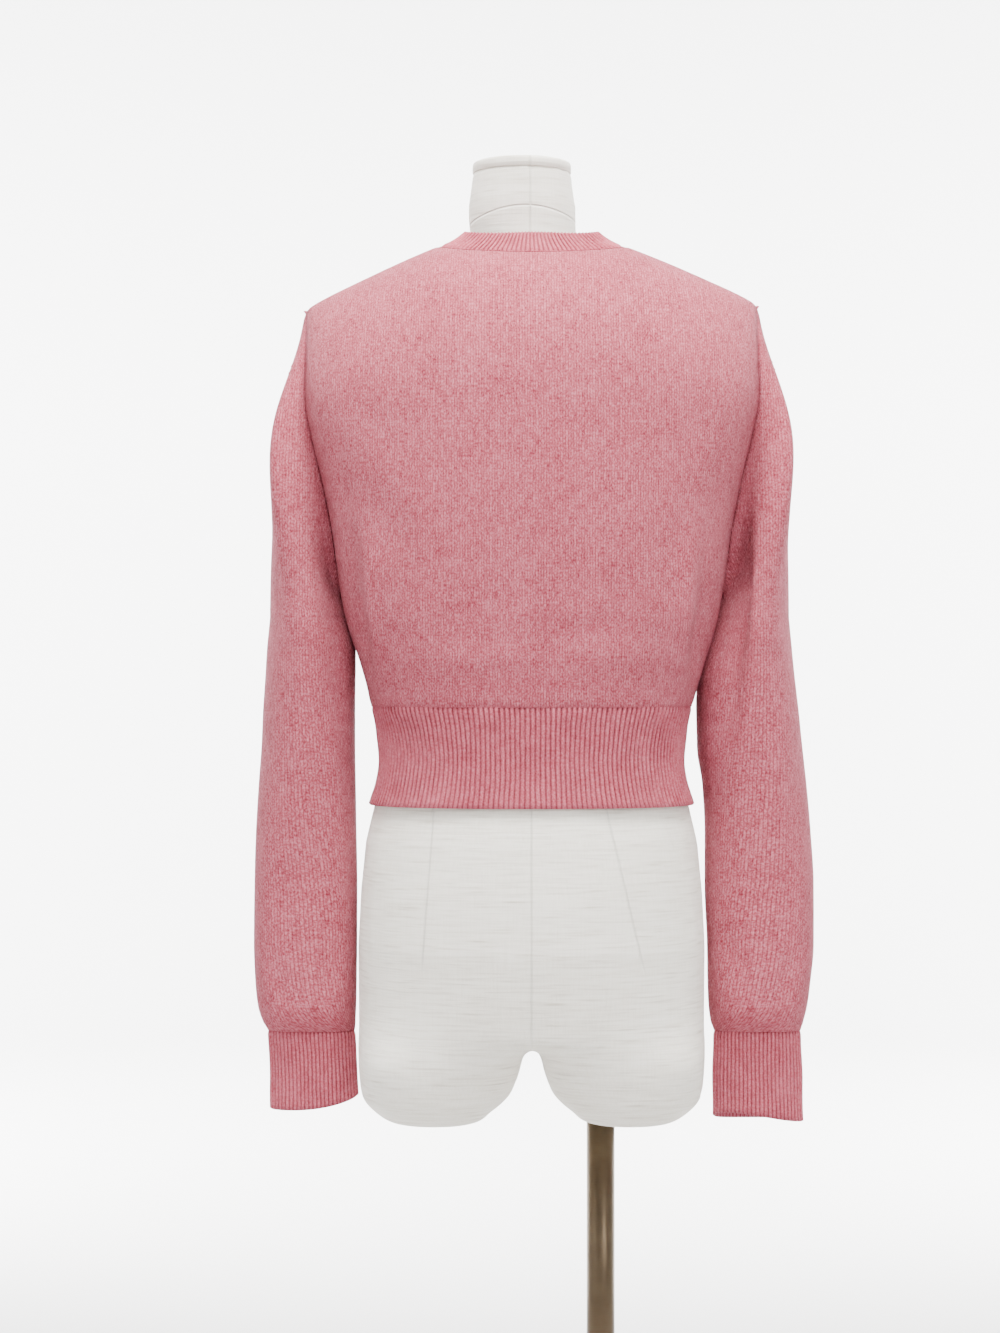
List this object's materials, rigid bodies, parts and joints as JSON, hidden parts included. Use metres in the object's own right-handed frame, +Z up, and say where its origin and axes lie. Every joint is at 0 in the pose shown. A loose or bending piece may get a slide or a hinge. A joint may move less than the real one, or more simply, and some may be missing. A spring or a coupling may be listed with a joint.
{
  "type": "cardigan on a dress form",
  "caption": "Cropped long-sleeved knitted cardigan with ribbed neckband, hem, cuffs and buttoned front, hanging on a limbless dress form with a pole stand.",
  "frame": {"origin": "on the ground, in the middle of the whole object seen from above", "axes": "+Z up; the front faces -Y, the wearer's left is at +X; the picture looks from +Y"},
  "size_m": [0.4548, 0.344, 1.106],
  "materials": {
    "back": "fine pink melange knit, matt",
    "front_left": "fine pink melange knit, matt",
    "front_right": "fine pink melange knit, matt",
    "hem_rib_back": "fine pink melange knit, matt",
    "hem_rib_left": "fine pink melange knit, matt",
    "hem_rib_right": "fine pink melange knit, matt",
    "sleeve_left": "fine pink melange knit, matt",
    "sleeve_right": "fine pink melange knit, matt",
    "cuff_left": "fine pink melange knit, matt",
    "cuff_right": "fine pink melange knit, matt",
    "neckband": "fine pink melange knit, matt",
    "button_band": "fine pink melange knit, matt",
    "buttonhole_band": "fine pink melange knit, matt",
    "button_1": "pink moulded button, glossy",
    "button_2": "pink moulded button, glossy",
    "button_3": "pink moulded button, glossy",
    "button_4": "pink moulded button, glossy",
    "button_5": "pink moulded button, glossy",
    "button_6": "pink moulded button, glossy",
    "button_7": "pink moulded button, glossy",
    "dress_form": "off-white linen cover, matt",
    "neck_cap": "off-white linen cover, matt",
    "pole": "brown bronze plated steel, satin",
    "base_plate": "brown bronze plated steel, satin"
  },
  "bodies": {
    "root": {"back": "back", "front_left": "front_left", "front_right": "front_right", "hem_rib_back": "hem_rib_back", "hem_rib_left": "hem_rib_left", "hem_rib_right": "hem_rib_right", "sleeve_left": "sleeve_left", "sleeve_right": "sleeve_right", "cuff_left": "cuff_left", "cuff_right": "cuff_right", "neckband": "neckband", "button_band": "button_band", "buttonhole_band": "buttonhole_band", "button_1": "button_1", "button_2": "button_2", "button_3": "button_3", "button_4": "button_4", "button_5": "button_5", "button_6": "button_6", "button_7": "button_7", "dress_form": "dress_form", "neck_cap": "neck_cap", "pole": "pole", "base_plate": "base_plate"}
  },
  "joints": []
}
